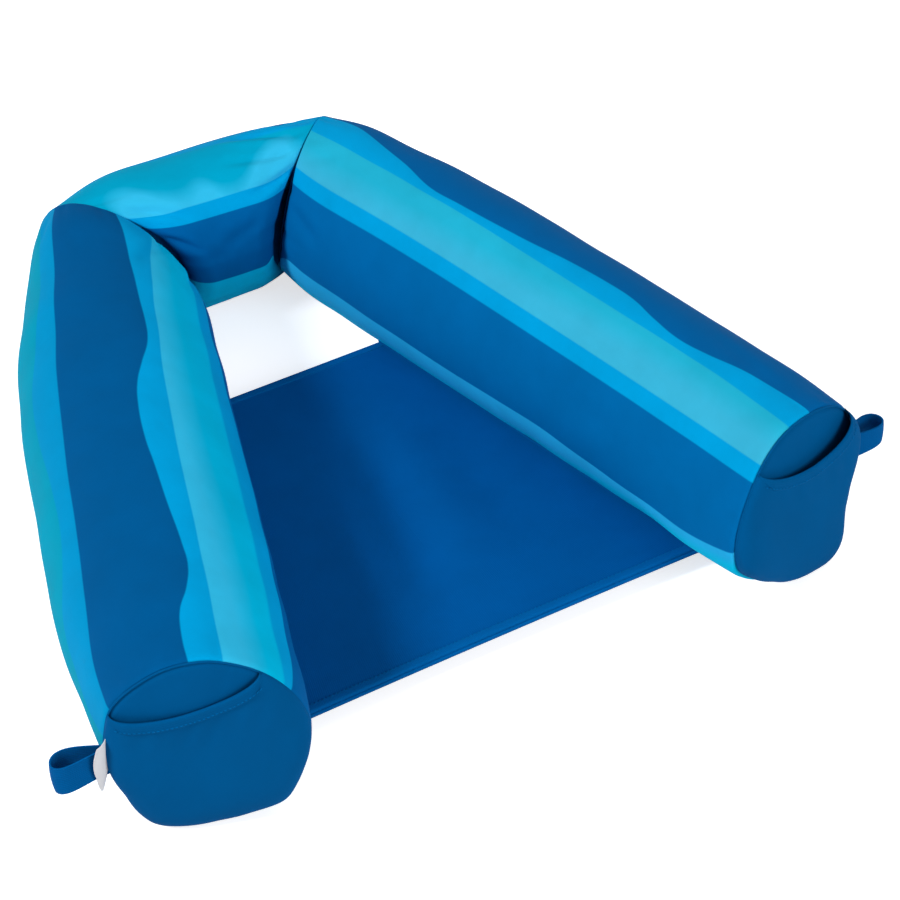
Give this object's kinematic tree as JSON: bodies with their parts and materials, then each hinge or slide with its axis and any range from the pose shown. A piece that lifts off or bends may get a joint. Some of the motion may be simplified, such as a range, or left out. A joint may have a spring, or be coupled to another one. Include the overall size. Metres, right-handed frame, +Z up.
{
  "type": "sling pool float",
  "caption": "U-shaped pool float of bead-filled fabric tubes in a printed stripe, with a fabric seat sling between the arms, end pockets and webbing loops.",
  "frame": {"origin": "on the floor, under the middle of the back tube", "axes": "+Z up; +Y out of the back of the float; the arms run towards -Y; +X to the sitter's left as they face -Y"},
  "size_m": [0.9384, 0.9311, 0.207],
  "materials": {
    "printed_fabric": "matte woven, printed in blue stripes",
    "solid_fabric": "matte woven",
    "sling_fabric": "matte open weave",
    "webbing": "matte ribbed webbing",
    "liner": "matte",
    "label": "smooth"
  },
  "bodies": {
    "back": {"back_cover": "printed_fabric", "back_bead_liner": "liner", "left_corner_seam": "solid_fabric", "right_corner_seam": "solid_fabric", "sling_panel": "sling_fabric", "sling_rear_hem": "sling_fabric", "sling_front_hem": "sling_fabric"},
    "left_arm": {"left_arm_cover": "printed_fabric", "left_arm_bead_liner": "liner", "left_end_panel": "solid_fabric", "left_end_piping": "solid_fabric", "left_pocket": "solid_fabric", "left_pocket_hem": "solid_fabric", "left_sling_tape": "webbing"},
    "right_arm": {"right_arm_cover": "printed_fabric", "right_arm_bead_liner": "liner", "right_end_panel": "solid_fabric", "right_end_piping": "solid_fabric", "right_pocket": "solid_fabric", "right_pocket_hem": "solid_fabric", "right_sling_tape": "webbing"},
    "left_loop": {"left_loop": "webbing"},
    "right_loop": {"right_loop": "webbing"},
    "care_label": {"care_label": "label"}
  },
  "joints": [
    {"name": "left_arm_fold", "type": "hinge", "parent": "back", "child": "left_arm", "pos_m": [-0.06105, -0.07779, 0], "axis": [0, 0, 1], "range_deg": [0, 15], "deforming": ["sling_panel", "sling_rear_hem", "sling_front_hem"]},
    {"name": "right_arm_fold", "type": "hinge", "parent": "back", "child": "right_arm", "pos_m": [0.06105, -0.07779, 0], "axis": [0, 0, -1], "range_deg": [0, 15], "deforming": ["sling_panel", "sling_rear_hem", "sling_front_hem"]},
    {"name": "left_loop_swing", "type": "hinge", "parent": "left_arm", "child": "left_loop", "pos_m": [-0.42343, -0.75677, 0.102], "axis": [0, 0, -1], "range_deg": [-12, 50]},
    {"name": "right_loop_swing", "type": "hinge", "parent": "right_arm", "child": "right_loop", "pos_m": [0.42343, -0.75677, 0.124], "axis": [0, 0, 1], "range_deg": [-12, 50]},
    {"name": "label_flap", "type": "hinge", "parent": "left_arm", "child": "care_label", "pos_m": [-0.42298, -0.75976, 0.102], "axis": [0, 0, 1], "range_deg": [-8, 25]}
  ]
}
